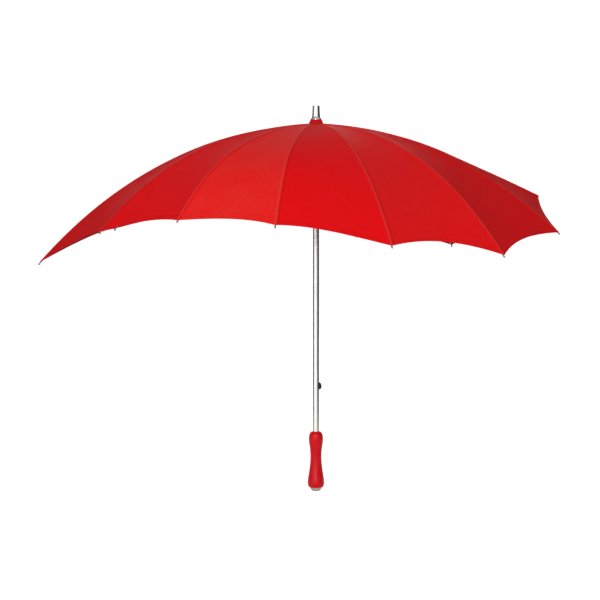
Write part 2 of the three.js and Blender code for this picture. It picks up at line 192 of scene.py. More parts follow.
def pongeeCloth():
    # Polyester pongee, plain woven and dyed: a close matt weave with a faint silky sheen, sewn with
    # thread of the same red. Its threads are 0.2 mm apart, drawn here at 2.6 mm so that they show.
    # Stitches are 2.4 mm long, in two rows beside each seam and one above the hem.
    fabric = {  # millimetres
        "thread": 2.6, "slub": 9.0, "cloud": 70.0,
        "stitch": 3.4, "stitchShare": 0.72, "stitchHalf": 0.45, "seamRow": 1.6, "hemRow": 6.2,
        "seamFoldShade": 4.0, "seamFoldShadeHalf": 3.0, "puckerWidth": 26.0,
        # The last stop, paler and pinker, is a painted sheen that only the most lit gores reach.
        "dyeAndPaintedSheen": ((0.0, "A8060C"), (0.75, "E60E14"), (1.0, "CF4438")),
        "paintedSeamHighlight": "EE5A50", "threadTone": "8E070C",
    }
    material, tree, shader = startMaterial("pongeePolyesterWoven", {
        "Roughness": 0.6, "IOR": 1.5, "Sheen Weight": 0.005, "Sheen Roughness": 0.35,
        "Sheen Tint": linear("FF8C80"), "Specular IOR Level": 0.025,
    })
    uv = addNode(tree, "UVMap", uv_map="clothMetres")
    across = addNode(tree, "SeparateXYZ", {"Vector": uv})
    seamGap = addNode(tree, "Attribute", attribute_name="seamGap").outputs["Fac"]
    hemGap = addNode(tree, "Attribute", attribute_name="hemGap").outputs["Fac"]
    gore = addNode(tree, "Attribute", attribute_name="paintedGoreShade").outputs["Fac"]

    def calculate(operation, first, second, third=None):
        inputs = {0: first, 1: second}
        if third is not None:
            inputs[2] = third
        return addNode(tree, "Math", inputs, operation=operation)

    def threads(output):  # a rounded rib for each thread
        phase = calculate("MULTIPLY", output, 2 * math.pi / (fabric["thread"] * mm))
        return addNode(tree, "Math", {0: phase}, operation="SINE")

    weave = calculate("MULTIPLY", threads(across.outputs["X"]), threads(across.outputs["Y"]))
    slub = addNode(tree, "TexNoise", {
        "Vector": uv, "Scale": 1 / (fabric["slub"] * mm), "Detail": 3.0, "Roughness": 0.6,
    })
    cloud = addNode(tree, "TexNoise", {
        "Vector": uv, "Scale": 1 / (fabric["cloud"] * mm), "Detail": 2.0,
    })

    def stitches(gap, row, along):  # dashes on a line that keeps its distance from an edge
        line = calculate("COMPARE", gap, row * mm, fabric["stitchHalf"] * mm)
        step = calculate("FRACT", calculate("DIVIDE", along, fabric["stitch"] * mm), 0.0)
        return calculate("MULTIPLY", line, calculate("LESS_THAN", step, fabric["stitchShare"]))

    seamStitch = stitches(seamGap, fabric["seamRow"], across.outputs["Y"])
    hemStitch = stitches(hemGap, fabric["hemRow"], across.outputs["X"])
    thread = calculate("MAXIMUM", seamStitch, hemStitch)

    # Colour: dyed red, a little cloudy, with painted light and shade on each gore, a painted highlight along
    # each seam and a painted shade beside it, and darker in the stitches.
    shade = calculate("MULTIPLY_ADD", cloud, 0.12, calculate("MULTIPLY_ADD", slub, 0.2, 0.34))
    shade = calculate("MULTIPLY_ADD", weave, 0.12, shade)
    # Painted light and shade: each gore's red is raised or lowered by how the light falls on it.
    shade = calculate("ADD", shade, gore)
    beside = calculate("ADD", across.outputs["X"], -fabric["seamFoldShade"] * mm)
    seamFoldShade = addNode(tree, "MapRange", {  # painted shade: a darker band on one side of each seam, for the shadow of its fold
        "Value": addNode(tree, "Math", {0: beside}, operation="ABSOLUTE"),
        "From Min": 0.0, "From Max": fabric["seamFoldShadeHalf"] * mm, "To Min": -0.3, "To Max": 0.0,
    })
    shade = calculate("ADD", shade, seamFoldShade)
    dyedAndSheen = mixTones(tree, shade, *fabric["dyeAndPaintedSheen"])
    # Painted highlight: a paler line along each seam's ridge, where light would catch it.
    seamHighlightAmount = addNode(tree, "MapRange", {
        "Value": seamGap, "From Min": 3.4 * mm, "From Max": 1.2 * mm, "To Max": 0.26,
    })
    paintedSeamHighlight = addNode(tree, "Mix", {0: seamHighlightAmount, 6: dyedAndSheen, 7: linear(fabric["paintedSeamHighlight"])}, data_type="RGBA")
    sewn = addNode(tree, "Mix", {
        0: calculate("MULTIPLY", thread, 0.45), 6: paintedSeamHighlight.outputs[2], 7: linear(fabric["threadTone"]),
    }, data_type="RGBA")
    tree.links.new(sewn.outputs[2], shader.inputs["Base Color"])

    # Relief: the weave, the slubs, the stitches, and puckers that fade out beside each seam.
    puckerPlace = addNode(tree, "CombineXYZ", {  # 40 mm wide and 10.5 mm long
        0: calculate("MULTIPLY", across.outputs["X"], 25.0),
        1: calculate("MULTIPLY", across.outputs["Y"], 95.0),
    })
    pucker = addNode(tree, "TexNoise", {"Vector": puckerPlace, "Scale": 1.0, "Detail": 1.0})
    near = addNode(tree, "MapRange", {
        "Value": seamGap, "From Min": fabric["puckerWidth"] * mm, "From Max": 3 * mm,
    }, interpolation_type="SMOOTHSTEP")
    relief = calculate("MULTIPLY", calculate("MULTIPLY", pucker, near), 0.9)
    relief = calculate("MULTIPLY_ADD", weave, 0.24, relief)
    relief = calculate("MULTIPLY_ADD", slub, 0.16, relief)
    relief = calculate("MULTIPLY_ADD", thread, 0.35, relief)
    bump = addNode(tree, "Bump", {"Height": relief, "Distance": 0.7 * mm, "Strength": 0.55})
    useOn(tree, shader, Normal=bump)
    return material


def metal(name, tone, dark, roughness, grainSize, grainDepth, stretch=(1, 1, 1)):
    # Roughness and relief follow a fine grain, stretched along the way the metal was worked.
    material, tree, shader = startMaterial(name, {"Metallic": 1.0, "Roughness": roughness})
    onPiece = addNode(tree, "TexCoord").outputs["Object"]
    stretched = addNode(tree, "Mapping", {"Vector": onPiece, "Scale": stretch})
    grain = addNode(tree, "TexNoise", {
        "Vector": stretched, "Scale": 1 / (grainSize * mm), "Detail": 4.0, "Roughness": 0.6,
    })
    wear = addNode(tree, "TexNoise", {"Vector": onPiece, "Scale": 1 / (45 * mm), "Detail": 3.0})
    tones = mixTones(tree, wear, (0.3, dark), (0.6, tone))
    rough = addNode(tree, "MapRange", {
        "Value": grain, "To Min": roughness * 0.75, "To Max": roughness * 1.3,
    })
    bump = addNode(tree, "Bump", {"Height": grain, "Distance": grainDepth * mm, "Strength": 0.4})
    useOn(tree, shader, Base_Color=tones, Roughness=rough, Normal=bump)
    return material


def plastic(name, tone, dark, roughness, grainSize, grainDepth, shine=0.16):
    # Moulded plastic: a fine even texture from the mould, and faint cloudiness in its colour.
    material, tree, shader = startMaterial(name, {
        "Roughness": roughness, "IOR": 1.49, "Specular IOR Level": shine,
    })
    onPiece = addNode(tree, "TexCoord").outputs["Object"]
    grain = addNode(tree, "TexNoise", {
        "Vector": onPiece, "Scale": 1 / (grainSize * mm), "Detail": 3.0, "Roughness": 0.55,
    })
    cloud = addNode(tree, "TexNoise", {"Vector": onPiece, "Scale": 1 / (22 * mm), "Detail": 3.0})
    tones = mixTones(tree, cloud, (0.3, dark), (0.65, tone))
    rough = addNode(tree, "MapRange", {
        "Value": grain, "To Min": roughness * 0.8, "To Max": roughness * 1.2,
    })
    bump = addNode(tree, "Bump", {"Height": grain, "Distance": grainDepth * mm, "Strength": 0.3})
    useOn(tree, shader, Base_Color=tones, Roughness=rough, Normal=bump)
    return material


def paperFloor():
    # Seamless paper: matt and pale, with a faint pulp mottle.
    material, tree, shader = startMaterial("seamlessPaper", {"Roughness": 0.95})
    onPiece = addNode(tree, "TexCoord").outputs["Object"]
    mottle = addNode(tree, "TexNoise", {"Vector": onPiece, "Scale": 60.0, "Detail": 2.0})
    pale, paler = studio["floorTones"]
    useOn(tree, shader, Base_Color=mixTones(tree, mottle, (0.0, pale), (1.0, paler)))
    shader.inputs["Emission Color"].default_value = linear("FFFFFF")
    shader.inputs["Emission Strength"].default_value = studio["floorGlow"]
    return material


def greyCard(tone):
    # Foam board, painted matt grey, a little uneven from the roller.
    material, tree, shader = startMaterial("foamBoardGrey", {"Base Color": linear(tone)})
    onPiece = addNode(tree, "TexCoord").outputs["Object"]
    paint = addNode(tree, "TexNoise", {"Vector": onPiece, "Scale": 40.0})
    rough = addNode(tree, "MapRange", {"Value": paint, "To Min": 0.88, "To Max": 0.92})
    useOn(tree, shader, Roughness=rough)
    return material


makeCamera()
makeLights()
pongee = pongeeCloth()
# Drawn aluminium tube, clear anodised: satin silver with fine lines along its length.
aluminium = metal("anodisedAluminiumDrawn", "C6C4C0", "BAB8B4", 0.22, 0.6, 0.004, (1, 1, 0.02))
# Chrome-plated brass, polished: bright, with dark edges where it turns away.
chrome = metal("chromePlatePolished", "E4E5E8", "D2D3D7", 0.12, 0.8, 0.01)
# Satin nickel plate on a moulded cap: pearly and soft in its reflections.
satinNickel = metal("nickelPlateSatin", "958D86", "837B75", 0.36, 0.6, 0.01)
# Zinc-plated spring steel, pressed: dull silver, a little uneven.
springSteel = metal("zincPlatedSpringSteel", "A9ABAE", "85878B", 0.38, 0.7, 0.03, (1, 1, 0.3))
# Red ABS with a gloss lacquer: an even deep red with sharp highlights.
lacquer = plastic("redAbsLacquered", "DA0A1A", "CC0816", 0.36, 0.5, 0.012)
# Black acetal, moulded: satin, close to black.
acetal = plastic("blackAcetalMoulded", "1C1C1E", "121214", 0.42, 0.4, 0.02)
# Glass-fibre rod with a black resin skin: fine lengthways strands.
fibreRod = plastic("glassFibreRodBlack", "2B2C2E", "1E1F21", 0.4, 0.6, 0.03)
print("camera, lights and materials are made")


# Ways to make a mesh from whole arrays.
def makePiece(name, points, faces, material, creaseAngle=38):
    # Faces are quads, or triangles whose last corner is -1. They are all turned outwards.
    used, faces = np.unique(faces, return_inverse=True)
    faces = faces.reshape(-1, 4)
    if used[0] == -1:
        faces = faces - 1
        used = used[1:]
    points = points[used]
    a, b, c = (points[faces[:, i]] for i in (0, 1, 2))
    d = np.where(faces[:, 3:] < 0, a, points[faces[:, 3]])
    volume = (np.cross(b - a, c - a) * a).sum() + (np.cross(c - a, d - a) * a).sum()
    if volume < 0:
        flipped = faces[:, [2, 1, 0, 3]]
        faces = np.where(faces[:, 3:] < 0, flipped, faces[:, ::-1])
    mesh = bpy.data.meshes.new(name)
    mesh.from_pydata((points * mm).tolist(), [], [
        face[:3] if face[3] < 0 else face for face in faces.tolist()
    ])
    mesh.update()
    mesh.shade_smooth()
    mesh.set_sharp_from_angle(angle=math.radians(creaseAngle))
    mesh.materials.append(material)
    piece = bpy.data.objects.new(name, mesh)
    bpy.context.collection.objects.link(piece)
    return piece, used


def wallFaces(rows, columns, wrap=False, keep=None):
    # A closed wall between two grids of rows x columns points, the outer grid first: both skins,
    # and a strip along every edge of the grid and of every gap in it. keep says which cells stay.
    index = np.arange(rows * columns).reshape(rows, columns)
    if wrap:
        index = np.hstack([index, index[:, :1]])
    cells = (rows - 1, index.shape[1] - 1)
    keep = np.ones(cells, bool) if keep is None else keep
    a, b = index[:-1, :-1], index[:-1, 1:]
    c, d = index[1:, 1:], index[1:, :-1]
    inner = rows * columns
    skins = [np.stack([a, b, c, d], -1)[keep], np.stack([d, c, b, a], -1)[keep] + inner]
    above = np.vstack([keep[1:], np.zeros((1, cells[1]), bool)])
    below = np.vstack([np.zeros((1, cells[1]), bool), keep[:-1]])
    if wrap:
        right, left = np.roll(keep, -1, 1), np.roll(keep, 1, 1)
    else:
        none = np.zeros((cells[0], 1), bool)
        right, left = np.hstack([keep[:, 1:], none]), np.hstack([none, keep[:, :-1]])
    edges = []
    for neighbour, first, second in ((below, a, b), (above, c, d), (left, d, a), (right, b, c)):
        edge = keep & ~neighbour
        p, q = first[edge], second[edge]
        edges.append(np.stack([q, p, p + inner, q + inner], -1))
    return np.vstack(skins + edges)


def turned(profile, sides, ripple=None):
    # A profile of (radius, height) turned about the shaft. A first or last point on the axis is
    # one pole; any other profile is a loop, and closes on itself.
    profile = np.array(profile, float)
    poles = profile[0, 0] == 0 and profile[-1, 0] == 0
    rings = profile[1:-1] if poles else profile
    angle = 2 * np.pi * np.arange(sides) / sides
    radius = rings[:, :1] + (0 if ripple is None else ripple(rings, angle))
    height = np.broadcast_to(rings[:, 1:], (len(rings), sides))
    points = np.stack([radius * np.cos(angle), radius * np.sin(angle), height], -1).reshape(-1, 3)
    index = np.arange(len(rings) * sides).reshape(len(rings), sides)
    if not poles:
        index = np.vstack([index, index[:1]])
    index = np.hstack([index, index[:, :1]])
    faces = [np.stack([index[:-1, :-1], index[:-1, 1:], index[1:, 1:], index[1:, :-1]], -1)
             .reshape(-1, 4)]
    if poles:
        ends = np.array([[0, 0, profile[0, 1]], [0, 0, profile[-1, 1]]])
        first, last = len(points), len(points) + 1
        points = np.vstack([points, ends])
        none = np.full(sides, -1)
        faces.append(np.stack([index[0, 1:], index[0, :-1], np.full(sides, first), none], -1))
        faces.append(np.stack([index[-1, :-1], index[-1, 1:], np.full(sides, last), none], -1))
    return points, np.vstack(faces)


def tubeAlong(path, radii, across, sides):
    # A round tube along a path in one radial plane, with closed ends. across is the direction
    # square to that plane.
    tangent = np.gradient(path, axis=0)
    tangent /= np.linalg.norm(tangent, axis=1, keepdims=True)
    up = np.cross(tangent, across)
    angle = 2 * np.pi * np.arange(sides) / sides
    ringShape = np.cos(angle)[None, :, None] * up[:, None, :] + np.sin(angle)[None, :, None] * across
    points = (path[:, None, :] + radii[:, None, None] * ringShape).reshape(-1, 3)
    index = np.arange(len(path) * sides).reshape(len(path), sides)
    index = np.hstack([index, index[:, :1]])
    faces = np.stack([index[:-1, :-1], index[:-1, 1:], index[1:, 1:], index[1:, :-1]], -1)
    first, last = len(points), len(points) + 1
    points = np.vstack([points, path[:1], path[-1:]])
    none = np.full(sides, -1)
    ends = [
        np.stack([index[0, 1:], index[0, :-1], np.full(sides, first), none], -1),
        np.stack([index[-1, :-1], index[-1, 1:], np.full(sides, last), none], -1),
    ]
    return points, np.vstack([faces.reshape(-1, 4), *ends])


def curveThrough(points, perSpan):  # Catmull-Rom curve through the points, ends repeated
    points = np.array(points, float)
    padded = np.vstack([points[:1], points, points[-1:]])
    t = (np.arange(perSpan) / perSpan)[None, :, None]
    p0, p1, p2, p3 = (padded[i:len(points) - 1 + i, None, :] for i in range(4))
    v0, v1 = (p2 - p0) / 2, (p3 - p1) / 2
    curve = ((2 * p1 - 2 * p2 + v0 + v1) * t ** 3 + (-3 * p1 + 3 * p2 - 2 * v0 - v1) * t ** 2
             + v0 * t + p1)
    return np.vstack([curve.reshape(-1, points.shape[1]), points[-1:]])


def place(piece, body, slotName, *nodes):
    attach(piece, body)
    if nodes:
        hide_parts(*nodes)
    return piece


# What stands round the object.
def makeFloor():
    # A flat disc that sweeps up into a low wall: height = curve - curve * cos(turn).
    flat, curve = studio["floorFlat"] / mm, studio["floorCurve"] / mm
    turn = np.linspace(0, np.pi / 2, 25)
    radius = np.concatenate([[0, flat / 2], flat + curve * np.sin(turn), [flat + curve]])
    height = np.concatenate([[0, 0], curve - curve * np.cos(turn), [curve + studio["wallHeight"] / mm]])
    top = np.stack([radius, height - 0.5], -1)
    below = np.stack([radius[::-1] + 40, height[::-1] - studio["paperThick"]], -1)
    below[-1, 0] = 0
    points, faces = turned(np.vstack([top, below]), 96)
    floor, _ = makePiece("floor", points, faces, paperFloor(), 60)
    floor.visible_diffuse = False  # its glow shows in reflections, and the sky lights the rest


def makeCards():
    for name, (position, width, height, tone) in studio["cards"].items():
        middle = np.array(position) / mm
        sideways = np.array([middle[1], -middle[0], 0]) / np.hypot(middle[0], middle[1])
        grid = np.array([
            middle + sideways * width / mm * u + np.array([0, 0, height / mm]) * v
            for u, v in ((-0.5, -0.3), (0.5, -0.3), (0.5, 0.7), (-0.5, 0.7))
        ])
        away = middle / np.linalg.norm(middle) * 10
        points = np.vstack([grid[[0, 1, 3, 2]], grid[[0, 1, 3, 2]] + away])
        card, _ = makePiece(name, points, wallFaces(2, 2), greyCard(tone))
        card.visible_camera = False
        card.visible_diffuse = False
        card.visible_shadow = False


makeFloor()
makeCards()
print("floor and cards are made")


# The cloth.
canopy = {
    "apex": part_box("canopy_collar")[0].z / mm - 0.3,
    "innerRadius": 9.5,
    "bendRadius": 302.0,  # where each rib's flexible outer part starts
    # reach from the shaft and drop from the apex of each rib's tip, from the point to the notch
    "tips": [
        (636, 321), (532, 247), (491, 221), (463, 231), (578, 270), (591, 292), (576, 248), (514, 166),
    ],
    "arch": (0.0732, 3.05e-4, 7.03e-7),  # drop along every rib: slope, bend and tightening
    "tipProud": 2.0,  # how far each tip stands out past the hem's corner
    "scallops": (22, 15, 11, 11, 23, 18, 8),  # how far the hem curves in, from the point's gore
    "sag": 7.0,  # how far a gore hangs below the straight line between two ribs
    "thick": 0.4,
    "hemWidth": 8.0,
    "sagPlace": (5, 7),  # the sag grows over these shares of 12, inside the bend and outside it
    "foldHeight": 0.3,
    "seamHeight": 0.5,
    "innerRows": 30,
    "outerRows": 38,
    "goreColumns": 10,
    "keptInner": 0.28,  # share of its width that a strip keeps when the umbrella is shut
    "keptOuter": 0.16,
    # Painted light and shade: each gore's red is made a little lighter or darker, for how the light falls on
    # that gore.
    "paintedGoreShades": (0.06, 0.12, 0.3, 0.1, 0.22, 0.06, 0.02),
}
order = [min(k, ribCount - k) for k in range(ribCount)]
mirror = [min(g, ribCount - 1 - g) for g in range(ribCount)]  # the far half repeats the near half
scallop = np.array([canopy["scallops"][g] for g in mirror], float)
paintedGoreShade = np.array([canopy["paintedGoreShades"][g] for g in mirror])
reach = np.array([canopy["tips"][k][0] for k in order], float)
tipDrop = np.array([canopy["tips"][k][1] for k in order], float)


def archDrop(radius):  # slope * r + bend * r^2 + tightening * r^3
    slope, bend, tighten = canopy["arch"]
    return slope * radius + bend * radius ** 2 + tighten * radius ** 3


ownBend = (tipDrop - archDrop(reach)) / (reach - canopy["bendRadius"]) ** 2


def ribHeightAt(k, radius):  # height of the cloth over rib k
    past = np.maximum(radius - canopy["bendRadius"], 0)
    return canopy["apex"] - archDrop(radius) - ownBend[k % ribCount] * past ** 2


def clothPoint(gore, t, inwards, hemBack):
    # A point between rib gore (t = 0) and the next rib (t = 1). inwards runs from 0 at the shaft to
    # 1 at the bend and 2 at the hem. Both ribs' points at that distance are joined by a straight
    # line, which then sags. hemBack is a distance back from the hem.
    bow = 4 * t * (1 - t)
    inner, bend = canopy["innerRadius"], canopy["bendRadius"]
    ends = []
    for k in (gore, gore + 1):
        hem = reach[k % ribCount] - canopy["tipProud"] - scallop[gore % ribCount] * bow
        within, beyond = inner + (bend - inner) * inwards, bend + (hem - bend) * (inwards - 1)
        radius = np.where(inwards <= 1, within, beyond) - hemBack
        angle = np.pi + k * ribStep
        ends.append(np.stack([radius * np.cos(angle), radius * np.sin(angle), ribHeightAt(k, radius)], -1))
    point = ends[0] * (1 - t[..., None]) + ends[1] * t[..., None]
    first, second = canopy["sagPlace"]
    along = np.where(inwards <= 1, first * inwards, first + second * (inwards - 1)) / (first + second)
    point[..., 2] -= canopy["sag"] * bow * np.sin(np.pi * np.minimum(along, 0.75) / 1.5)
    return point


def clothStrip(k, outer):
    # The cloth from the middle of one gore to the middle of the next, centred on rib k, and either
    # from the shaft to the bend or from the bend to the hem. The two gores are joined by a raised
    # seam over the rib, and the hem is folded back.
    if outer:
        rows = np.concatenate([np.linspace(1, 2, canopy["outerRows"]), [2, 2, 2, 2]])
        back = np.concatenate([
            np.linspace(0, canopy["hemWidth"] + 1.5, canopy["outerRows"]),
            [canopy["hemWidth"], canopy["hemWidth"] - 0.6, 0.5, 0.0],
        ])
        fold = np.concatenate([np.zeros(canopy["outerRows"]), [0, 1, 1, 0.4]]) * canopy["foldHeight"]
    else:
        rows = np.linspace(0, 1, canopy["innerRows"])
        back = np.zeros(canopy["innerRows"])
        fold = np.zeros(canopy["innerRows"])
    seamOffsets = np.array([0, 0.4, 1.5, 2.5, 3.0, 3.6])
    seamLift = np.array([0.55, 0.95, 1.0, 0.75, 0.3, 0.0]) * canopy["seamHeight"]
    inner, bend = canopy["innerRadius"], canopy["bendRadius"]
    within, beyond = inner + (bend - inner) * rows, bend + (reach[k] - bend) * (rows - 1)
    radius = np.where(rows <= 1, within, beyond) - back
    width = 2 * radius * math.sin(ribStep / 2)  # of a gore
    shrink = np.minimum(1, 0.3 * width / seamOffsets[-1])[:, None]
    near = seamOffsets[None, :] * shrink / width[:, None]
    share = (np.arange(1, canopy["goreColumns"] + 1) / canopy["goreColumns"])[None, :]
    far = near[:, -1:] + (0.5 - near[:, -1:]) * share
    half = np.hstack([near, far])
    across = np.hstack([-half[:, :0:-1], half])
    lift = np.concatenate([seamLift, np.zeros(canopy["goreColumns"])])
    lift = np.concatenate([lift[:0:-1], lift])[None, :] * shrink
    inwards = np.broadcast_to(rows[:, None], across.shape)
    gore = np.where(across < 0, k - 1, k)
    t = np.where(across < 0, 1 + across, across)
    top = clothPoint(gore, t, inwards, back[:, None])
    under = top.copy()
    top[..., 2] += lift + fold[:, None]
    under[..., 2] -= canopy["thick"] + fold[:, None] * 0.6
    ribLine = top[:, across.shape[1] // 2]
    lengths = np.concatenate([[0], np.cumsum(np.linalg.norm(np.diff(ribLine, axis=0), axis=1))])
    uv = np.stack([across * width[:, None], np.broadcast_to(lengths[:, None], across.shape)], -1) * mm
    if outer:
        hemGap = np.linalg.norm(top - top[-1:], axis=-1) * mm
    else:
        hemGap = np.ones(across.shape)
        uv[..., 1] -= lengths[-1] * mm  # so that the threads run on over the bend
    cells = np.linalg.norm(np.cross(top[1:, 1:] - top[:-1, :-1], top[1:, :-1] - top[:-1, 1:]), axis=-1)
    facts = {
        "uv": uv, "seamGap": np.abs(uv[..., 0]), "hemGap": hemGap,
        "paintedGoreShade": np.where(across < 0, paintedGoreShade[k - 1], paintedGoreShade[k]) * np.ones(across.shape),
        "area": cells.sum() / 2 * mm ** 2,
        "width": np.linalg.norm(np.diff(top, axis=1), axis=-1).sum(1).max() * mm,
        "length": np.linalg.norm(np.diff(top, axis=0), axis=-1).sum(0).max() * mm,
    }
    return top, under, facts


def makeCanopy():
    for k in range(ribCount):
        number = f"{k + 1:02d}"
        panels = sorted({f"canopy_panel_{(g % ribCount) // 2 + 1}" for g in (k, k - 1)})
        for part, outer in (("inner", False), ("outer", True)):
            top, under, facts = clothStrip(k, outer)
            rows, columns = top.shape[:2]
            points = np.vstack([top.reshape(-1, 3), under.reshape(-1, 3)])
            piece, used = makePiece(
                f"cloth_{number}_{part}", points, wallFaces(rows, columns), pongee, 50,
            )
            mesh = piece.data
            corner = np.zeros(len(mesh.loops), np.int32)
            mesh.loops.foreach_get("vertex_index", corner)
            both = np.vstack([facts["uv"].reshape(-1, 2)] * 2)[used]
            layer = mesh.uv_layers.new(name="clothMetres")
            layer.data.foreach_set("uv", both[corner].astype(np.float32).ravel())
            for name in ("seamGap", "hemGap", "paintedGoreShade"):
                values = np.concatenate([facts[name].ravel()] * 2)[used].astype(np.float32)
                mesh.attributes.new(name, "FLOAT", "POINT").data.foreach_set("value", values)
            place(piece, f"rib_{number}_tip" if outer else f"rib_{number}", "canopy_fabric", *panels)
            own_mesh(piece)


# The outer ribs: a rod, the sleeve that holds it and its tip.
rod = {
    "radius": 1.45, "start": 2.1,  # start: how far past the bend
    "below": (1.0, 3.1),  # from the cloth to the rod's middle: upright, and square to the cloth
    "rise": 1.9, "riseLength": 60.0,  # how far the rod comes up towards its tip, and over what length
    "sleeveLength": 24.0, "sleeveRadius": 2.0,
    "tipLength": 9.0, "tipRadius": 1.8, "ballRadius": 2.2,
}


def ribPath(k, radius):  # middle line of an outer rib: the cloth's height, less a gap that ends at the tip
    upright, square = rod["below"]
    slope = ribHeightAt(k, radius + 1) - ribHeightAt(k, radius)
    below = upright + square * np.sqrt(1 + slope ** 2)
    rise = np.clip((radius - reach[k] + rod["riseLength"]) / rod["riseLength"], 0, 1)
    below = below - rod["rise"] * rise ** 2 * (3 - 2 * rise)  # the rod comes up to the cloth's corner
    angle = np.pi + k * ribStep
    height = ribHeightAt(k, radius) - below
    return np.stack([radius * np.cos(angle), radius * np.sin(angle), height], -1)


def makeOuterRibs():
    for k in range(ribCount):
        number = f"{k + 1:02d}"
        angle = np.pi + k * ribStep
        across = np.array([-math.sin(angle), math.cos(angle), 0.0])
        start = canopy["bendRadius"] + rod["start"]
        end = reach[k] - rod["ballRadius"]
        body = f"rib_{number}_tip"

        radius = np.linspace(start, end - rod["tipLength"] * 0.6, 60)
        points, faces = tubeAlong(ribPath(k, radius), np.full(60, rod["radius"]), across, 16)
        piece, _ = makePiece(f"ribRod_{number}", points, faces, fibreRod)
        place(piece, body, "rib_tip_rod", f"rib_{number}_outer")

        radius = np.linspace(start, start + rod["sleeveLength"] * 0.86, 14)
        shape = np.full(14, rod["sleeveRadius"])
        shape[[0, -1]] = rod["sleeveRadius"] - 0.4
        shape[8:10] -= 0.25  # crimped on
        points, faces = tubeAlong(ribPath(k, radius), shape, across, 16)
        piece, _ = makePiece(f"ribSleeve_{number}", points, faces, springSteel)
        place(piece, body, "frame_steel")

        # The tip: a cup over the rod's end, then a neck, then a ball.
        share = np.linspace(0, 1, 24)
        radius = end - rod["tipLength"] * (1 - share) + rod["ballRadius"] * 0.98 * share
        ball = np.sqrt(np.maximum(1 - ((radius - end) / rod["ballRadius"]) ** 2, 0.02)) * rod["ballRadius"]
        cup = np.where(share < 0.06, rod["tipRadius"] - 0.3, rod["tipRadius"] - 0.5 * share)
        shape = np.where(np.abs(radius - end) < rod["ballRadius"], ball, cup)
        points, faces = tubeAlong(ribPath(k, radius), shape, across, 20)
        piece, _ = makePiece(f"ribTip_{number}", points, faces, satinNickel)
        place(piece, body, "rib_tip_rod")


# Copies of CAD pieces with softened edges, and the lower catch.
def softened(node, material, slotName, width):
    # A copy of a CAD node with its flat faces joined and its edges rounded.
    source = frame["nodes"][node]
    mesh = source.data.copy()
    build = bmesh.new()
    build.from_mesh(mesh)
    bmesh.ops.remove_doubles(build, verts=build.verts, dist=1e-6)
    bmesh.ops.dissolve_limit(build, angle_limit=0.01, verts=build.verts, edges=build.edges)
    build.to_mesh(mesh)
    build.free()
    mesh.materials.clear()
    mesh.materials.append(material)
    piece = bpy.data.objects.new(node + "_soft", mesh)
    bpy.context.collection.objects.link(piece)
    roundEdges(piece, width)
    return place(piece, nodeBody(node), slotName, node)


catch = {
    "toothHalf": 8.65, "edge": 7.3,  # edge: where the tooth starts, out from the shaft's line
    "leaf": (3.85, 4.65), "halfWidth": 1.5, "rounding": 0.35,
}


def makeBottomCatch():
    # A bent leaf inside the tube, with a rounded tooth: out = proud * (1 - |u|^2.6)^0.7, where u runs
    # from -1 to 1 down the tooth and its widest place is a little below the middle.
    low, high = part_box("bottom_catch")
    top, bottom = high.z / mm, low.z / mm
    half, edge = catch["toothHalf"], catch["edge"]
    inside, outside = catch["leaf"]
    u = np.linspace(1, -1, 25)
    out = edge + (high.x / mm - edge) * (1 - np.abs(u) ** 2.6) ** 0.7
    tooth = np.stack([out, top - half + half * u - 0.8 * (1 - u ** 2)], -1)
    leaf = [(outside, top - 2 * half), (outside, bottom), (inside, bottom), (inside, top)]
    outline = np.vstack([[(outside, top)], tooth, leaf])
    count = len(outline)
    points = np.vstack([
        np.column_stack([outline[:, 0], np.full(count, y), outline[:, 1]])
        for y in (-catch["halfWidth"], catch["halfWidth"])
    ]) * mm
    ring = np.arange(count)
    sides = np.stack([ring, np.roll(ring, -1), np.roll(ring, -1) + count, ring + count], -1)
    mesh = bpy.data.meshes.new("bottomCatch")
    mesh.from_pydata(points.tolist(), [], sides.tolist() + [ring[::-1].tolist(), (ring + count).tolist()])
    turnOutwards(mesh)
    mesh.materials.append(acetal)
    piece = bpy.data.objects.new("bottomCatch", mesh)
    bpy.context.collection.objects.link(piece)
    roundEdges(piece, catch["rounding"])
    place(piece, "bottom_catch", "catch", "bottom_catch")


def turnOutwards(mesh):  # faces follow their neighbours, and then all point away from the middle
    build = bmesh.new()
    build.from_mesh(mesh)
    bmesh.ops.recalc_face_normals(build, faces=build.faces)
    build.to_mesh(mesh)
    build.free()


def roundEdges(piece, width):  # a small bevel wherever faces meet at more than 35 degrees
    piece.data.shade_smooth()
    piece.data.set_sharp_from_angle(angle=math.radians(30))
    bevel = piece.modifiers.new("roundedEdges", "BEVEL")
    bevel.width = width * mm
    bevel.segments = 2
    bevel.limit_method = "ANGLE"
    bevel.angle_limit = math.radians(35)


def nodeBody(node):  # the name of the body that a CAD node rides
    parent = frame["nodes"][node].parent
    return next(name for name, empty in frame["bodies"].items() if parent == empty)


def refinish(node, material):  # a CAD node keeps its mesh and gets another material
    for materialSlot in frame["nodes"][node].material_slots:
        materialSlot.material = material


# Shaft, handle, cap, ferrule and collar.
shaft = {
    "radius": 7.25, "wall": 1.0, "chamfer": 0.3, "sides": 120,
    "slotHalf": 1.8, "slotLength": 17.3, "slotSpare": 0.3,  # spare: room above and below a tooth
}


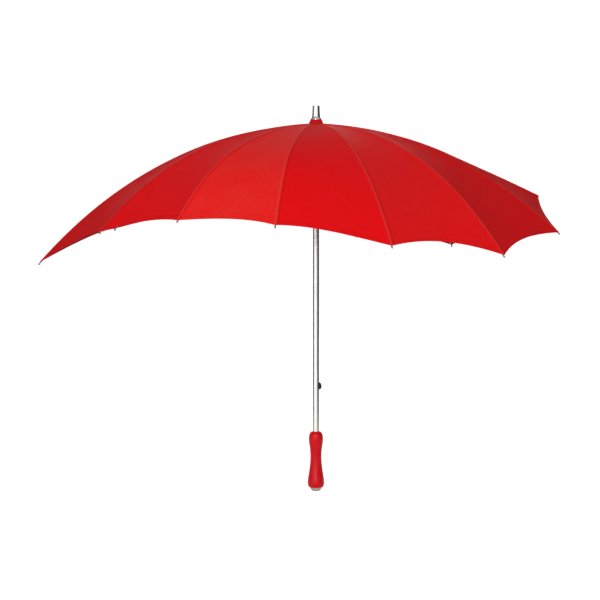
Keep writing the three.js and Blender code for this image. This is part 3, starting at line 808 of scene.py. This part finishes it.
def makeShaft():
    # A tube: two turned skins and the slots for the catches cut through them. Slots are on the side
    # of the notch, at angle 0, so the columns next to it sit on the slots' sides.
    low, high = (corner.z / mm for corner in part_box("shaft_tube"))
    slotHalf, radius = shaft["slotHalf"], shaft["radius"]
    spare, cut = shaft["slotSpare"], shaft["chamfer"]
    edges = []
    for node in ("bottom_catch", "top_catch"):
        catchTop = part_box(node)[1].z / mm
        edges += [catchTop - shaft["slotLength"] - spare, catchTop + spare]
    heights = np.unique(np.concatenate([
        [low, low + cut, high - cut, high], edges, np.linspace(low + 20, high - 20, 40),
    ]))
    side = math.asin(slotHalf / radius)
    angle = np.concatenate([[-side, side], np.linspace(side, 2 * np.pi - side, shaft["sides"])[1:-1]])
    chamfer = np.where((heights == low) | (heights == high), cut, 0.0)
    grids = []
    for skin in (radius - chamfer, np.full(len(heights), radius - shaft["wall"])):
        grids.append(np.stack([
            skin[:, None] * np.cos(angle), skin[:, None] * np.sin(angle),
            np.broadcast_to(heights[:, None], (len(heights), len(angle))),
        ], -1).reshape(-1, 3))
    keep = np.ones((len(heights) - 1, len(angle)), bool)
    middle = (heights[1:] + heights[:-1]) / 2
    for bottom, top in (edges[:2], edges[2:]):
        keep[(middle > bottom) & (middle < top), 0] = False
    faces = wallFaces(len(heights), len(angle), True, keep)
    piece, _ = makePiece("shaft", np.vstack(grids), faces, aluminium)
    place(piece, "stick", "shaft", "shaft_tube")


handle = {
    "outline": [(15.6, 0), (18.6, .04), (19.25, .09), (18.2, .17), (15, .33), (13, .51), (13.7, .67),
                (16, .8), (16.5, .88), (15, .955), (10.5, 1)],  # radius, share of its length
    "socket": 7.55, "socketFloor": 30.0,
    "recess": 5.3, "recessTop": 24.0,  # the hole for the end cap's stem
}
cap = {"dome": 8.4, "rim": 12.6, "flat": 6.0, "stem": 5.0, "dimple": 3.6}


def makeHandle():
    low, high = (corner.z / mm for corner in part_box("handle_grip"))
    outline = [(radius, low + share * (high - low)) for radius, share in handle["outline"]]
    curve = curveThrough(outline, 14)
    socket, socketFloor = handle["socket"], handle["socketFloor"]
    recess, recessTop = handle["recess"], handle["recessTop"]
    profile = np.vstack([
        [(0, recessTop), (recess, recessTop), (recess, low + 0.4), (recess + 0.4, low)],
        [(14.6, low), (15.2, low + 0.12)],
        curve[1:-1],
        [(10.2, high - 0.05), (9.6, high), (socket + 0.3, high), (socket, high - 0.3)],
        [(socket, socketFloor), (0, socketFloor)],
    ])
    piece, _ = makePiece("handle", *turned(profile, 96), lacquer, 50)
    place(piece, "stick", "handle", "handle_grip")

    # The cap's dome is a quarter of an ellipse, from a flat end out to the rim.
    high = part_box("end_cap")[1].z / mm
    dome, rim, level, stem = cap["dome"], cap["rim"], cap["flat"], cap["stem"]
    turn = np.linspace(0, np.pi / 2, 20)
    quarter = np.stack([level + (rim - level) * np.sin(turn), dome * (1 - np.cos(turn))], -1)
    profile = np.vstack([
        [(0, 0.25), (cap["dimple"] - 0.4, 0.22), (cap["dimple"], 0)],
        quarter,
        [(rim - 0.3, dome + 0.02), (stem, dome + 0.02), (stem, high), (0, high)],
    ])
    piece, _ = makePiece("endCap", *turned(profile, 96), satinNickel, 40)
    place(piece, "stick", "end_cap", "end_cap")


ferrule = {
    "foot": [(13.5, 0.9), (12.4, 2.4), (10.5, 4.9), (9.5, 7.6), (9.25, 11)],  # radius, height above its base
    "end": [(8.35, 1.6), (7.9, 0.5), (6.9, 0)],  # radius, depth below its top
    "bore": 7.55, "boreTop": 13.8,  # boreTop: height above the cloth's apex
}
collar = {
    # radius and height above the cloth's apex, from the canopy up and in
    "outline": [(17.0, -0.35), (15.6, 0.7), (14.9, 2.2), (14.3, 5.0), (13.7, 7.0), (12.9, 7.5), (9.0, 7.45)],
    "thick": 0.7, "gather": 0.3, "gatherMiddle": 3.6, "gatherReach": 4.6, "aroundRadius": 14.5,
}


def makeTop():
    apex = canopy["apex"]
    base, top = (corner.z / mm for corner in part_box("ferrule"))
    foot = [(radius, base + height) for radius, height in ferrule["foot"]]
    end = [(radius, top - depth) for radius, depth in ferrule["end"]]
    bore, boreTop = ferrule["bore"], apex + ferrule["boreTop"]
    profile = np.vstack([
        [(0, boreTop), (bore, boreTop), (bore, base), (13.2, base), (13.5, base + 0.3)],
        curveThrough(foot + end, 8),
        [(5.2, top), (4.8, top - 0.4), (0, top - 0.4)],
    ])
    piece, _ = makePiece("ferruleCap", *turned(profile, 96), chrome, 42)
    place(piece, "stick", "chrome", "ferrule")

    # The cloth's collar: a gathered sleeve, tucked in at the top and spread over the canopy.
    thick = collar["thick"]
    outside = curveThrough([(radius, apex + height) for radius, height in collar["outline"]], 8)
    inside = outside[::-1] - np.array([thick, 0.0])
    inside[:, 1] = np.minimum(inside[:, 1], apex + 7.5 - thick)

    def gathers(rings, angle):  # shallow folds, deepest half way up
        fromMiddle = np.abs(rings[:, 1:] - apex - collar["gatherMiddle"])
        depth = collar["gather"] * np.clip(1 - fromMiddle / collar["gatherReach"], 0, 1)
        return depth * (np.cos(ribCount * angle) + 0.4 * np.cos(3 * ribCount * angle + 1))

    points, faces = turned(np.vstack([outside, inside]), 168, gathers)
    piece, used = makePiece("canopyCollar", points, faces, pongee, 50)
    mesh = piece.data
    corner = np.zeros(len(mesh.loops), np.int32)
    mesh.loops.foreach_get("vertex_index", corner)
    angle = np.arctan2(points[:, 1], points[:, 0]) % (2 * np.pi)
    uv = np.stack([angle * collar["aroundRadius"], points[:, 2] - apex], -1) * mm
    layer = mesh.uv_layers.new(name="clothMetres")
    layer.data.foreach_set("uv", uv[used][corner].astype(np.float32).ravel())
    for name, value in (("seamGap", 1.0), ("paintedGoreShade", 0.0)):
        data = np.full(len(used), value, np.float32)
        mesh.attributes.new(name, "FLOAT", "POINT").data.foreach_set("value", data)
    rim = ((apex + 7.6 - points[:, 2]) * 2 * mm).astype(np.float32)[used]
    mesh.attributes.new("hemGap", "FLOAT", "POINT").data.foreach_set("value", rim)
    place(piece, "stick", "canopy_fabric", "canopy_collar")


makeShaft()
makeHandle()
makeTop()
print("shaft, handle, ferrule and collar are made")
makeCanopy()
print("canopy is made")
makeOuterRibs()
print("outer ribs are made")

makeBottomCatch()
softened("top_catch", springSteel, "steel", 0.2)
softened("runner", acetal, "black_plastic", 0.3)
softened("crown_notch", acetal, "black_plastic", 0.3)
for number in range(1, ribCount + 1):
    softened(f"rib_{number:02d}_inner", springSteel, "frame_steel", 0.35)
    softened(f"stretcher_{number:02d}", springSteel, "frame_steel", 0.3)
refinish("crown_wire", springSteel)
refinish("runner_wire", springSteel)
print("frame pieces are finished")
